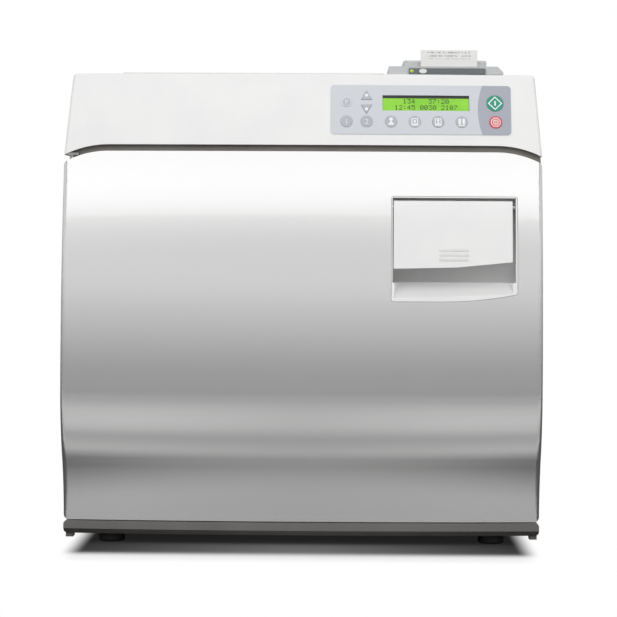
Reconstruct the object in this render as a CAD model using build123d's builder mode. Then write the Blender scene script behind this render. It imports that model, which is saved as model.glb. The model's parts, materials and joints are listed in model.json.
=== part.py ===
from build123d import *
import os
from math import asin, cos, degrees, radians, sin

# Benchtop steam autoclave: cabinet, curved door, chamber with trays, water reservoir, controls
# and a strip printer. Millimetres, +Z up. The door faces -Y. The origin is on the surface that
# the machine stands on, under the middle of its outline.

# ---------------------------------------------------------------- driving dimensions
WIDTH = 451.0
DEPTH = 526.0
BODY_TOP = 445.5
HALF = WIDTH / 2
FRONT = -DEPTH / 2
BACK = DEPTH / 2
SHEET = 1.5
SKIN = 3.0
GAP = 0.5

# Heights on the front, from the feet up
FOOT_HEIGHT = 9.0
SILL_TOP = 21.4
DOOR_BOTTOM = 22.2
DOOR_TOP = 371.0
GROOVE = 6.3

# The front bulges in plan on one large radius, round an upright axis far behind the machine
PLAN_RADIUS = 2700.0
SWEEP_ANGLE = 11.0

# Side profile of the door: an upper arc, a belly arc and a hollow tail arc
BELLY_Z = 144.0
TAIL_Z = 82.0
TOP_PITCH = 15.5
LOW_PITCH = 27.0
UPPER_RADIUS = 877.0
BELLY_RADIUS = (BELLY_Z - TAIL_Z) / sin(radians(LOW_PITCH))
TAIL_RADIUS = (TAIL_Z - DOOR_BOTTOM) / sin(radians(LOW_PITCH))

# The groove over the door is level in the middle and turns down at both ends
LEVEL_HALF = 183.0
END_RADIUS = 88.0
END_CENTRE_Z = DOOR_TOP - END_RADIUS

# Side profile of the fascia: one arc that leans back as it rises
FACE_RADIUS = 670.0
FACE_FOOT_Z = 360.0
FACE_FOOT_PITCH = 13.0
FACE_FOOT_R = PLAN_RADIUS - 28.5
TAPER_Z = 367.0
TOP_HALF = HALF - 6.0
TOP_CORNER_R = 4.5

# Upright planes across the machine
DOOR_BACK_Y = -192.0
FRAME_Y = -188.0
CASE_Y = -185.5
PANEL_Y = 256.5

# Door hinge and handle
HINGE_X = -218.5
HINGE_Y = -218.5
HINGE_PIN_R = 2.2
RUNNING_FIT = 0.05
HANDLE_X = 141.0
HANDLE_Z = 319.0
HANDLE_DEPTH = 7.5
SHAFT_R = 2.5
CRANK_LENGTH = 18.0

# Pressure chamber
CHAMBER_X = -18.0
CHAMBER_Z = 200.0
CHAMBER_R = 139.5
VESSEL_WALL = 3.0
LAGGING = 18.0

# Control panel, measured from its own middle
PANEL_X = 111.2
PANEL_Z = 411.2
PANEL_W = 170.5
PANEL_H = 47.0
OVERLAY = 0.6
KEY_TRAVEL = 0.5

# Printer on the right of the top
PRINTER_X = 135.5
PRINTER_W = 109.0
PAPER_W = 54.0

# ---------------------------------------------------------------- shared planes and profiles
PLAN_AXIS = Axis((0, FRONT + PLAN_RADIUS, 0), (0, 0, 1))
START = radians(-SWEEP_ANGLE / 2)
SIDE = Plane(
    origin=(0, FRONT + PLAN_RADIUS, 0),
    x_dir=(sin(START), -cos(START), 0),
    z_dir=(-cos(START), -sin(START), 0),
)
CHAMBER_SIDE = Plane(origin=(CHAMBER_X, 0, CHAMBER_Z), x_dir=(0, 1, 0), z_dir=(1, 0, 0))
CHAMBER_AXIS = Axis((CHAMBER_X, 0, CHAMBER_Z), (0, 1, 0))
FACE_CENTRE = (
    FACE_FOOT_R - FACE_RADIUS * cos(radians(FACE_FOOT_PITCH)),
    FACE_FOOT_Z - FACE_RADIUS * sin(radians(FACE_FOOT_PITCH)),
)
DEEP_R = PLAN_RADIUS - 100.0


def upright(y, x=0.0, z=0.0):
    """Return the upright plane across the machine at y, which extrudes towards the front."""
    return Plane(origin=(x, y, z), x_dir=(1, 0, 0), z_dir=(0, -1, 0))


def block(x_range, y_range, z_range, mode=Mode.ADD):
    """Add or cut a block between the given limits."""
    with BuildSketch(Plane.XY.offset(z_range[0])) as base:
        with Locations((sum(x_range) / 2, sum(y_range) / 2)):
            Rectangle(x_range[1] - x_range[0], y_range[1] - y_range[0])
    extrude(base.sketch, amount=z_range[1] - z_range[0], mode=mode)


def disc(plane, radius, length, mode=Mode.ADD):
    """Add or cut a round bar that stands on the given plane."""
    with BuildSketch(plane) as base:
        Circle(radius)
    extrude(base.sketch, amount=length, mode=mode)


def pipe(points, bends, radius):
    """Add a tube along straight runs joined by round bends."""
    with BuildLine() as route:
        FilletPolyline(*points, radius=bends)
    start = route.line @ 0
    with BuildSketch(Plane(origin=start, z_dir=route.line % 0)) as bore:
        Circle(radius)
    sweep(bore.sketch, path=route.line)


def door_section(inset):
    """Return the side profile of the door, taken inset inside its outer skin."""
    with BuildSketch(SIDE) as section:
        with BuildLine():
            belly_point = (PLAN_RADIUS - inset, BELLY_Z)
            upper = JernArc(belly_point, (0, 1), UPPER_RADIUS - inset, TOP_PITCH)
            belly = JernArc(belly_point, (0, -1), BELLY_RADIUS - inset, -LOW_PITCH)
            tail = JernArc(belly @ 1, belly % 1, TAIL_RADIUS + inset, LOW_PITCH)
            Polyline(tail @ 1, (DEEP_R, (tail @ 1).Y), (DEEP_R, (upper @ 1).Y), upper @ 1)
        make_face()
    return section.sketch


def groove_edge_z(x, rise):
    """Return the height of the groove's edge at x, rise above the top of the door."""
    beyond = max(abs(x) - LEVEL_HALF, 0.0)
    return END_CENTRE_Z + ((END_RADIUS + rise) ** 2 - beyond**2) ** 0.5


def door_outline(inset):
    """Return the front outline of the door, on the plane of its back edge."""
    half = HALF - inset
    end_angle = degrees(asin((half - LEVEL_HALF) / (END_RADIUS - inset)))
    with BuildSketch(upright(DOOR_BACK_Y)) as outline:
        with BuildLine():
            level = Line((0, DOOR_TOP - inset), (LEVEL_HALF, DOOR_TOP - inset))
            end = JernArc(level @ 1, (1, 0), END_RADIUS - inset, -end_angle)
            Polyline(end @ 1, (half, DOOR_BOTTOM + inset), (0, DOOR_BOTTOM + inset))
            mirror(about=Plane.YZ)
        make_face()
    return outline.sketch


def fascia_outline(start_y, inset, rise, crown=0.0):
    """Return the fascia's front outline: the groove's curve below, tapered sides above."""
    half = HALF - inset
    top = BODY_TOP - inset - crown
    end_angle = degrees(asin((half - LEVEL_HALF) / (END_RADIUS + rise)))
    with BuildSketch(upright(start_y)) as outline:
        with BuildLine():
            level = Line((0, DOOR_TOP + rise), (LEVEL_HALF, DOOR_TOP + rise))
            end = JernArc(level @ 1, (1, 0), END_RADIUS + rise, -end_angle)
            Polyline(end @ 1, (TOP_HALF - inset, top), (0, top))
            mirror(about=Plane.YZ)
        make_face()
        corners = outline.vertices().group_by(Axis.Y)[-1]
        fillet(corners.filter_by(lambda v: abs(v.X) > 1), radius=max(TOP_CORNER_R - inset, 2.0))
    return outline.sketch


def fascia_section(outer, inner):
    """Return the side profile of a layer between two distances from the fascia's face."""
    with BuildSketch(SIDE) as section:
        with BuildLine():
            face = CenterArc(FACE_CENTRE, FACE_RADIUS + outer, FACE_FOOT_PITCH - 3, 12)
            back = CenterArc(FACE_CENTRE, FACE_RADIUS + inner, FACE_FOOT_PITCH - 3, 12)
            Line(face @ 0, back @ 0)
            Line(face @ 1, back @ 1)
        make_face()
    return section.sketch


def fascia_plane(x, z, lift=0.0):
    """Return the plane that lies on the fascia at x, z and faces outwards."""
    pitch = asin((z - FACE_CENTRE[1]) / FACE_RADIUS)
    reach = FACE_CENTRE[0] + FACE_RADIUS * cos(pitch)
    turn = asin(x / reach)
    return Plane(
        origin=(x, FRONT + PLAN_RADIUS - reach * cos(turn), z),
        x_dir=(cos(turn), sin(turn), 0),
        z_dir=(cos(pitch) * sin(turn), -cos(pitch) * cos(turn), sin(pitch)),
    ).offset(lift)


def case_outline(start_y, inset):
    """Return the outline of the cabinet seen from the front, inset inside its skin."""
    half = HALF - 1.0 - inset
    top_half = TOP_HALF - 1.0 - inset
    top = BODY_TOP - inset
    with BuildSketch(upright(start_y)) as outline:
        with BuildLine():
            bottom = FOOT_HEIGHT + SHEET
            Polyline((0, bottom), (half, bottom), (half, TAPER_Z), (top_half, top), (0, top))
            mirror(about=Plane.YZ)
        make_face()
        corners = outline.vertices().group_by(Axis.Y)[-1]
        fillet(corners.filter_by(lambda v: abs(v.X) > 1), radius=TOP_CORNER_R - inset)
    return outline.sketch


# ---------------------------------------------------------------- cabinet
PAN_Y = (CASE_Y, PANEL_Y - GAP)
FOOT_X = 181.0
FOOT_Y = (-205.0, 222.0)

with BuildPart() as feet:
    for foot_y in FOOT_Y:
        for foot_x in (-FOOT_X, FOOT_X):
            disc(Plane((foot_x, foot_y, 0)), 12.5, FOOT_HEIGHT)
    fillet(feet.edges().filter_by(GeomType.CIRCLE).group_by(Axis.Z)[0], radius=2.5)
feet.part.label = "feet"

with BuildPart() as base_pan:
    block((-HALF + 3, HALF - 3), PAN_Y, (FOOT_HEIGHT, FOOT_HEIGHT + 14))
    block((-HALF + 3 + SHEET, HALF - 3 - SHEET), (PAN_Y[0] + SHEET, PAN_Y[1] - SHEET),
          (FOOT_HEIGHT + SHEET, FOOT_HEIGHT + 15), mode=Mode.SUBTRACT)
    # Tongue that carries the front feet and the sill
    block((-HALF + 14, HALF - 14), (FOOT_Y[0] - 16, PAN_Y[0] + 1), (FOOT_HEIGHT, FOOT_HEIGHT + SHEET))
base_pan.part.label = "base_pan"

SILL_FRONT_R = PLAN_RADIUS - 25.5
SILL_Z = FOOT_HEIGHT + SHEET + 0.2

with BuildSketch(SIDE) as sill_profile:
    with BuildLine():
        Polyline(
            (DEEP_R, FOOT_HEIGHT), (SILL_FRONT_R - 6, FOOT_HEIGHT), (SILL_FRONT_R, FOOT_HEIGHT + 5),
            (SILL_FRONT_R, SILL_TOP), (DEEP_R, SILL_TOP), close=True,
        )
    make_face()

with BuildPart() as sill_trim:
    revolve(sill_profile.sketch, axis=PLAN_AXIS, revolution_arc=SWEEP_ANGLE)
    with BuildSketch(upright(FRAME_Y - GAP)) as sill_outline:
        with Locations((0, (FOOT_HEIGHT + SILL_TOP) / 2)):
            RectangleRounded(WIDTH - 1, SILL_TOP - FOOT_HEIGHT, 3.5)
    extrude(sill_outline.sketch, amount=80, mode=Mode.INTERSECT)
    # Room for the tongue of the base pan
    block((-HALF + 13, HALF - 13), (FOOT_Y[0] - 17, PAN_Y[0]), (0, SILL_Z), mode=Mode.SUBTRACT)
    # A small lug under each end
    for lug_x in (-HALF + 5.5, HALF - 5.5):
        block((lug_x - 3.5, lug_x + 3.5), (-220, -206), (FOOT_HEIGHT - 4, FOOT_HEIGHT + 2))
    disc(Plane((HINGE_X, HINGE_Y, FOOT_HEIGHT + 3)), HINGE_PIN_R, 20, mode=Mode.SUBTRACT)
sill_trim.part.label = "sill_trim"

COVER_SPLIT_Z = 405.0

with BuildPart() as case_ring:
    extrude(case_outline(PANEL_Y - GAP, 0), amount=PANEL_Y - GAP - CASE_Y)
    extrude(case_outline(PANEL_Y, SHEET), amount=PANEL_Y - CASE_Y + 5, mode=Mode.SUBTRACT)

# Opening in the cover over the reservoir, and the one that the printer drops into
FILL_X = (-165.0, 66.0)
FILL_Y = (-165.0, -75.0)
TUB_X = (PRINTER_X - 38.0, PRINTER_X + 38.0)
TUB_Y = (-173.0, -115.0)

with BuildPart() as top_cover:
    add(case_ring.part)
    split(bisect_by=Plane.XY.offset(COVER_SPLIT_Z), keep=Keep.TOP)
    block(FILL_X, FILL_Y, (BODY_TOP - 5, BODY_TOP + 5), mode=Mode.SUBTRACT)
    block(TUB_X, TUB_Y, (BODY_TOP - 5, BODY_TOP + 5), mode=Mode.SUBTRACT)
    # Lip that stiffens the reservoir opening
    for lip_y in FILL_Y:
        block(FILL_X, (lip_y - 0.75, lip_y + 0.75), (BODY_TOP - 5, BODY_TOP))

VENT_COUNT = 9
VENT_PITCH = 12.0
FAN_X = 172.0
FAN_Z = 398.0
FAN_R = 27.0
INLET_X = 182.0
INLET_Z = 70.0
BREAKER_Z = 112.0
RELIEF_X = 72.0
RELIEF_Z = 250.0


def case_side(sign):
    """Return one side of the cabinet, with slots that let warm air out near the bottom."""
    with BuildPart() as side:
        add(case_ring.part)
        split(bisect_by=Plane.XY.offset(COVER_SPLIT_Z - 0.4), keep=Keep.BOTTOM)
        split(bisect_by=Plane.YZ.offset(sign * (HALF - 8)), keep=Keep.TOP if sign > 0 else Keep.BOTTOM)
        with BuildSketch(Plane.YZ.offset(sign * (HALF - 8))) as slots:
            with Locations((90, 70)):
                with GridLocations(VENT_PITCH, 0, VENT_COUNT, 1):
                    SlotOverall(50, 5, rotation=90)
        extrude(slots.sketch, amount=sign * 20, mode=Mode.SUBTRACT)
        block((-HALF, HALF), (-300, 300), (0, FOOT_HEIGHT + 14.5), mode=Mode.SUBTRACT)
    return side.part


side_panel_left = case_side(-1)
side_panel_left.label = "side_panel_left"
side_panel_right = case_side(1)
side_panel_right.label = "side_panel_right"

with BuildPart() as rear_panel:
    extrude(case_outline(PANEL_Y + SHEET, 0), amount=SHEET)
    with BuildSketch(upright(PANEL_Y + 5)) as holes:
        with Locations((FAN_X, FAN_Z)):
            for ring_r in (8.0, 16.0, 24.0):
                with PolarLocations(ring_r, 4, start_angle=45):
                    SlotOverall(ring_r * 1.1, 4, rotation=90)
        with Locations((INLET_X, INLET_Z)):
            Rectangle(29, 23)
        with Locations((INLET_X, BREAKER_Z)):
            Circle(6.3)
        with Locations((RELIEF_X, RELIEF_Z)):
            Circle(7)
        with Locations((-80, 100)):
            with GridLocations(0, VENT_PITCH, 1, VENT_COUNT):
                SlotOverall(150, 5)
    extrude(holes.sketch, amount=10, mode=Mode.SUBTRACT)
rear_panel.part.label = "rear_panel"

with BuildPart() as rear_bumpers:
    for bumper_x in (-150, 150):
        for bumper_z in (210, 340):
            disc(upright(BACK, bumper_x, bumper_z), 10, BACK - PANEL_Y - SHEET)
    fillet(rear_bumpers.edges().filter_by(GeomType.CIRCLE).group_by(Axis.Y)[-1], radius=1.5)
rear_bumpers.part.label = "rear_bumpers"

FLANGE_R = CHAMBER_R + 14.0
SLOT_X = (206.0, 219.0)
SLOT_Z = ((112.0, 150.0), (282.0, 320.0))
BRACKET_X = (HINGE_X - 3.6, HINGE_X + 7)
BRACKET_Z = (367.0, 369.2)

with BuildPart() as front_frame:
    with BuildSketch(upright(FRAME_Y + 2)) as frame_outline:
        with BuildLine():
            high = FOOT_HEIGHT + SHEET + 4
            top_z = groove_edge_z(HALF - 4, GROOVE + 6)
            Polyline((0, high), (HALF - 4, high), (HALF - 4, top_z), (LEVEL_HALF, DOOR_TOP + 12),
                     (0, DOOR_TOP + 12))
            mirror(about=Plane.YZ)
        make_face()
        with Locations((CHAMBER_X, CHAMBER_Z)):
            Circle(FLANGE_R + GAP, mode=Mode.SUBTRACT)
        for slot_z in SLOT_Z:
            with Locations((sum(SLOT_X) / 2, sum(slot_z) / 2)):
                Rectangle(SLOT_X[1] - SLOT_X[0], slot_z[1] - slot_z[0], mode=Mode.SUBTRACT)
    extrude(frame_outline.sketch, amount=2)
    # Plate at the end of the groove that holds the upper hinge pin
    block(BRACKET_X, (HINGE_Y - 3.5, FRAME_Y), BRACKET_Z)
    disc(Plane((HINGE_X, HINGE_Y, BRACKET_Z[0] - 1)), HINGE_PIN_R, 20, mode=Mode.SUBTRACT)
front_frame.part.label = "front_frame"

# Room over the hinge end of the door, where its corner turns up into the groove as it swings
SWING_ROOM = 3.5
with BuildPart() as swing_relief:
    extrude(fascia_outline(CASE_Y, 0, GAP - 3), amount=80)
    extrude(fascia_outline(CASE_Y + 1, 0, SWING_ROOM), amount=90, mode=Mode.SUBTRACT)
    block((BRACKET_X[1] + 0.3, HALF), (-300, -100), (DOOR_TOP - 50, 500), mode=Mode.SUBTRACT)

# Room for the fascia's side walls, which reach back past the ends of the groove strip
with BuildPart() as side_walls:
    extrude(fascia_outline(CASE_Y, -1, GROOVE - 0.4), amount=70)
    extrude(fascia_outline(CASE_Y + 1, SKIN + 0.3, GROOVE - 3), amount=90, mode=Mode.SUBTRACT)

with BuildPart() as groove_strip:
    revolve(fascia_section(-6, -9), axis=PLAN_AXIS, revolution_arc=SWEEP_ANGLE)
    extrude(fascia_outline(CASE_Y, 0.8, GAP), amount=70, mode=Mode.INTERSECT)
    block((-HALF, HALF), (-300, -100), (DOOR_TOP + 14, 500), mode=Mode.SUBTRACT)
    add(swing_relief.part, mode=Mode.SUBTRACT)
    add(side_walls.part, mode=Mode.SUBTRACT)
    # Room for the hinge plate, and for the pin under it
    block((-HALF, BRACKET_X[1] + 0.3), (-300, -100), (BRACKET_Z[0] - 0.3, BRACKET_Z[1] + 0.3),
          mode=Mode.SUBTRACT)
    block((-HALF, HINGE_X + HINGE_PIN_R + 0.4), (-300, -100), (DOOR_TOP - 50, BRACKET_Z[1] + 0.3),
          mode=Mode.SUBTRACT)
groove_strip.part.label = "groove_strip"

with BuildPart() as fascia_hollow:
    revolve(fascia_section(-SKIN, -60), axis=PLAN_AXIS, revolution_arc=SWEEP_ANGLE)
    extrude(fascia_outline(CASE_Y, SKIN, GROOVE - 3), amount=70, mode=Mode.INTERSECT)

PANEL_CUT_W = PANEL_W - 12
PANEL_CUT_H = PANEL_H - 10

with BuildPart() as fascia:
    revolve(fascia_section(0, -60), axis=PLAN_AXIS, revolution_arc=SWEEP_ANGLE)
    extrude(fascia_outline(CASE_Y - GAP, 0, GROOVE), amount=70, mode=Mode.INTERSECT)
    rim = fascia.edges().filter_by(lambda e: e.center().Z > BODY_TOP - 1 and e.center().Y < -195)
    fillet(rim, radius=3)
    add(fascia_hollow.part, mode=Mode.SUBTRACT)
    with BuildSketch(upright(-180)) as panel_cut:
        with Locations((PANEL_X, PANEL_Z)):
            RectangleRounded(PANEL_CUT_W, PANEL_CUT_H, 3)
    extrude(panel_cut.sketch, amount=100, mode=Mode.SUBTRACT)
fascia.part.label = "fascia"
top_cover.part.label = "top_cover"

# ---------------------------------------------------------------- control panel
KEY_GAP = 0.3
ROW_TOP_Z = PANEL_Z + 12.0
ROW_LOW_Z = PANEL_Z - 11.7
SCREEN_X = 116.0
SCREEN_Z = PANEL_Z + 6.3
SCREEN_W = 82.0
SCREEN_H = 15.5

# Round keys: name, x, z and radius
ROUND_KEYS = (
    ("key_program", 41.0, PANEL_Z + 7.0, 4.4),
    ("key_one", 41.0, ROW_LOW_Z, 5.6),
    ("key_two", 60.0, ROW_LOW_Z, 5.6),
    ("key_wrapped", 83.0, ROW_LOW_Z, 5.6),
    ("key_packs", 105.3, ROW_LOW_Z, 5.6),
    ("key_liquids", 127.4, ROW_LOW_Z, 5.6),
    ("key_drying", 149.6, ROW_LOW_Z, 5.6),
    ("key_start", 181.3, PANEL_Z + 6.4, 8.0),
    ("key_stop", 181.8, ROW_LOW_Z, 6.1),
)
# Arrow keys: name, z and the way that they point
ARROW_X = 59.8
ARROW_KEYS = (("key_up", ROW_TOP_Z, 90), ("key_down", PANEL_Z + 1.4, -90))
ARROW_R = 5.6
KEY_BASE = -3.0
KEY_TOP = OVERLAY + 0.5


def arrow(radius, turn):
    """Draw a three-sided arrow head with rounded corners, pointing along turn."""
    RegularPolygon(radius, 3, rotation=turn)


with BuildPart() as control_overlay:
    revolve(fascia_section(OVERLAY + 0.05, 0.05), axis=PLAN_AXIS, revolution_arc=SWEEP_ANGLE)
    with BuildSketch(upright(-180)) as overlay_outline:
        with Locations((PANEL_X, PANEL_Z)):
            RectangleRounded(PANEL_W, PANEL_H, 3.5)
    extrude(overlay_outline.sketch, amount=100, mode=Mode.INTERSECT)
    for _, key_x, key_z, key_r in ROUND_KEYS:
        disc(fascia_plane(key_x, key_z, -3), key_r + KEY_GAP, 8, mode=Mode.SUBTRACT)
    for _, key_z, key_turn in ARROW_KEYS:
        with BuildSketch(fascia_plane(ARROW_X, key_z, -3)) as arrow_hole:
            arrow(ARROW_R + 2 * KEY_GAP, key_turn)
        extrude(arrow_hole.sketch, amount=8, mode=Mode.SUBTRACT)
    with BuildSketch(fascia_plane(SCREEN_X, SCREEN_Z, -3)) as window:
        Rectangle(SCREEN_W, SCREEN_H)
    extrude(window.sketch, amount=8, mode=Mode.SUBTRACT)
control_overlay.part.label = "control_overlay"

keys = []
for key_name, key_x, key_z, key_r in ROUND_KEYS:
    with BuildPart() as key:
        disc(fascia_plane(key_x, key_z, KEY_BASE), key_r, KEY_TOP - KEY_BASE)
        outside = (key_x, FRONT - 200, key_z + 60)
        outer_rim = key.edges().filter_by(GeomType.CIRCLE).sort_by_distance(outside)[0]
        fillet(outer_rim, radius=0.4)
    key.part.label = key_name
    keys.append(key.part)
for key_name, key_z, key_turn in ARROW_KEYS:
    with BuildPart() as key:
        with BuildSketch(fascia_plane(ARROW_X, key_z, KEY_BASE)) as head:
            arrow(ARROW_R, key_turn)
        extrude(head.sketch, amount=KEY_TOP - KEY_BASE)
    key.part.label = key_name
    keys.append(key.part)

BOARD_DEPTH = 6.0
BOARD_W = 162.0

with BuildPart() as control_board:
    with BuildSketch(fascia_plane(PANEL_X, PANEL_Z, -BOARD_DEPTH - 1.6)) as board:
        Rectangle(BOARD_W, PANEL_CUT_H)
    extrude(board.sketch, amount=1.6)
    # Terminal block and two chips on the back of the board
    for chip_x, chip_w in ((60.0, 30.0), (112.0, 14.0), (150.0, 22.0)):
        with BuildSketch(fascia_plane(chip_x, PANEL_Z, -BOARD_DEPTH - 7)) as chip:
            Rectangle(chip_w, 12)
        extrude(chip.sketch, amount=6)
control_board.part.label = "control_board"

with BuildPart() as lcd_module:
    with BuildSketch(fascia_plane(SCREEN_X, SCREEN_Z, -4.2)) as glass:
        Rectangle(SCREEN_W - 0.6, SCREEN_H - 0.6)
    extrude(glass.sketch, amount=3.8)
lcd_module.part.label = "lcd_module"

# ---------------------------------------------------------------- pressure chamber
FLANGE_Y = (FRAME_Y, FRAME_Y + 8)
VESSEL_END = 222.0
VESSEL_R = CHAMBER_R + VESSEL_WALL

with BuildPart() as chamber_vessel:
    with BuildSketch(CHAMBER_SIDE) as vessel_wall:
        with BuildLine():
            front_y = FLANGE_Y[1] - 1
            rim = Line((front_y, CHAMBER_R), (front_y, VESSEL_R))
            outside = Line(rim @ 1, (VESSEL_END - 14, VESSEL_R))
            corner = JernArc(outside @ 1, (1, 0), 14, -90)
            Polyline(corner @ 1, (VESSEL_END, 0), (VESSEL_END - VESSEL_WALL, 0),
                     (VESSEL_END - VESSEL_WALL, CHAMBER_R - 11))
            inner = JernArc((VESSEL_END - VESSEL_WALL, CHAMBER_R - 11), (0, 1), 11, 90)
            Line(inner @ 1, rim @ 0)
        make_face()
    revolve(vessel_wall.sketch, axis=CHAMBER_AXIS)
    # Welded front flange that the door seals against
    with BuildSketch(upright(FLANGE_Y[1], CHAMBER_X, CHAMBER_Z)) as flange:
        Circle(FLANGE_R)
        Circle(CHAMBER_R, mode=Mode.SUBTRACT)
    extrude(flange.sketch, amount=FLANGE_Y[1] - FLANGE_Y[0])
    # Holes for the heater's two ends, and for the fill and vent tubes
    for port_x in (-30.0, 30.0):
        disc(upright(VESSEL_END + 2, CHAMBER_X + port_x, CHAMBER_Z - 124), 4.2, 10, mode=Mode.SUBTRACT)
    for port_x, port_z in ((60.0, -95.0), (60.0, 95.0)):
        disc(upright(VESSEL_END + 2, CHAMBER_X + port_x, CHAMBER_Z + port_z), 3.1, 10, mode=Mode.SUBTRACT)
chamber_vessel.part.label = "chamber_vessel"

with BuildPart() as insulation_blanket:
    with BuildSketch(upright(VESSEL_END - 16, CHAMBER_X, CHAMBER_Z)) as lagging:
        Circle(VESSEL_R + LAGGING)
        Circle(VESSEL_R + 0.4, mode=Mode.SUBTRACT)
    extrude(lagging.sketch, amount=VESSEL_END - 16 - (FLANGE_Y[1] + 2))
    fillet(insulation_blanket.edges().filter_by(GeomType.CIRCLE).filter_by(
        lambda e: e.radius > VESSEL_R + 5), radius=5)
insulation_blanket.part.label = "insulation_blanket"

HEATER_R = 4.0
HEATER_Z = CHAMBER_Z - 124.0
with BuildPart() as heater_element:
    pipe(
        [(CHAMBER_X - 30, VESSEL_END + 12, HEATER_Z), (CHAMBER_X - 30, 190, HEATER_Z),
         (CHAMBER_X - 52, 150, HEATER_Z), (CHAMBER_X - 52, -150, HEATER_Z),
         (CHAMBER_X + 52, -150, HEATER_Z), (CHAMBER_X + 52, 150, HEATER_Z),
         (CHAMBER_X + 30, 190, HEATER_Z), (CHAMBER_X + 30, VESSEL_END + 12, HEATER_Z)],
        18, HEATER_R,
    )
heater_element.part.label = "heater_element"

RACK_HALF = 104.0
RACK_Y = (-168.0, 205.0)
TRAY_LEVELS = (-74.0, -24.0, 26.0)
LEDGE = 5.4
RACK_TOP = 82.0

with BuildPart() as tray_rack:
    for side_x in (-RACK_HALF, RACK_HALF):
        wall = sorted((CHAMBER_X + side_x, CHAMBER_X + side_x * (1 - 1.5 / RACK_HALF)))
        block(wall, RACK_Y, (CHAMBER_Z - RACK_TOP, CHAMBER_Z + RACK_TOP))
        for level in TRAY_LEVELS:
            ledge = sorted((wall[0] if side_x > 0 else wall[1], CHAMBER_X + side_x * (1 - LEDGE / RACK_HALF)))
            block(ledge, RACK_Y, (CHAMBER_Z + level - 1.5, CHAMBER_Z + level))
    # Windows in the side plates let the steam through
    with BuildSketch(Plane.YZ.offset(CHAMBER_X - 120)) as windows:
        for level in TRAY_LEVELS:
            with Locations((sum(RACK_Y) / 2, CHAMBER_Z + level + 30)):
                with GridLocations(90, 0, 4, 1):
                    SlotOverall(64, 18)
    extrude(windows.sketch, amount=240, mode=Mode.SUBTRACT)
    # Cross bars that tie the two plates together under the lowest tray
    for bar_y in (RACK_Y[0] + 12, RACK_Y[1] - 12):
        block((CHAMBER_X - RACK_HALF, CHAMBER_X + RACK_HALF), (bar_y - 5, bar_y + 5),
              (CHAMBER_Z - RACK_TOP, CHAMBER_Z - RACK_TOP + 1.5))
tray_rack.part.label = "tray_rack"

TRAY_HALF = 101.5
TRAY_Y = (-172.0, 198.0)
TRAY_WALL = 1.0
TRAY_HEIGHT = 17.0
trays = []
for tray_number, level in enumerate(TRAY_LEVELS, start=1):
    floor_z = CHAMBER_Z + level + 0.3
    with BuildPart() as tray:
        block((CHAMBER_X - TRAY_HALF, CHAMBER_X + TRAY_HALF), TRAY_Y, (floor_z, floor_z + TRAY_HEIGHT))
        fillet(tray.edges().filter_by(Axis.Z), radius=10)
        top_face = tray.faces().sort_by(Axis.Z)[-1]
        offset(amount=-TRAY_WALL, openings=top_face)
        with BuildSketch(Plane.XY.offset(floor_z - 1)) as perforation:
            with Locations((CHAMBER_X, sum(TRAY_Y) / 2)):
                with GridLocations(30, 30, 6, 12):
                    Circle(5)
        extrude(perforation.sketch, amount=4, mode=Mode.SUBTRACT)
    tray.part.label = f"tray_{tray_number}"
    trays.append(tray.part)

# ---------------------------------------------------------------- water, steam and power
TANK_X = (-205.0, 84.0)
TANK_Y = (-172.0, 170.0)
TANK_Z = (367.0, 437.0)
TANK_WALL = 3.0

with BuildPart() as reservoir_tank:
    block(TANK_X, TANK_Y, TANK_Z)
    fillet(reservoir_tank.edges().filter_by(Axis.Z), radius=12)
    block((TANK_X[0] + TANK_WALL, TANK_X[1] - TANK_WALL), (TANK_Y[0] + TANK_WALL, TANK_Y[1] - TANK_WALL),
          (TANK_Z[0] + TANK_WALL, TANK_Z[1] - TANK_WALL), mode=Mode.SUBTRACT)
    block((FILL_X[0] + 4, FILL_X[1] - 4), (FILL_Y[0] + 3, FILL_Y[1] - 3), (TANK_Z[1] - 10, TANK_Z[1] + 5),
          mode=Mode.SUBTRACT)
    disc(Plane((60, -40, TANK_Z[0] - 1)), 3.2, 6, mode=Mode.SUBTRACT)
reservoir_tank.part.label = "reservoir_tank"

LID_X = (-174.0, 77.0)
LID_Y = (-184.0, -60.0)
LID_Z = (BODY_TOP + 0.3, BODY_TOP + 2.3)
LID_HINGE_Y = LID_Y[1] + 1.2
LID_HINGE_Z = BODY_TOP + 1.9

with BuildPart() as fill_lid:
    block(LID_X, LID_Y, LID_Z)
    fillet(fill_lid.edges().filter_by(Axis.Z), radius=6)
    # Barrel of the hinge along the back edge
    disc(Plane(origin=(LID_X[0] + 12, LID_HINGE_Y, LID_HINGE_Z), z_dir=(1, 0, 0)), 1.5,
         LID_X[1] - LID_X[0] - 24)
    # Rim that drops into the opening
    block((FILL_X[0] + 6, FILL_X[1] - 6), (FILL_Y[0] + 5, FILL_Y[1] - 5), (LID_Z[0] - 4, LID_Z[0]))
    block((FILL_X[0] + 8, FILL_X[1] - 8), (FILL_Y[0] + 7, FILL_Y[1] - 7), (LID_Z[0] - 6, LID_Z[0]),
          mode=Mode.SUBTRACT)
fill_lid.part.label = "fill_lid"

VALVE_X = 188.0
VALVE_Y = (-110.0, -30.0)
VALVE_Z = 60.0

with BuildPart() as solenoid_valves:
    for valve_y in VALVE_Y:
        block((VALVE_X - 16, VALVE_X + 16), (valve_y - 14, valve_y + 14), (VALVE_Z, VALVE_Z + 20))
        disc(Plane((VALVE_X, valve_y, VALVE_Z + 20)), 6, 40)
        block((VALVE_X - 13, VALVE_X + 13), (valve_y - 13, valve_y + 13), (VALVE_Z + 24, VALVE_Z + 54))
        # Foot that stands the valve on the base pan
        block((VALVE_X - 10, VALVE_X + 10), (valve_y - 10, valve_y + 10),
              (FOOT_HEIGHT + SHEET + 0.2, VALVE_Z))
solenoid_valves.part.label = "solenoid_valves"

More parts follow.
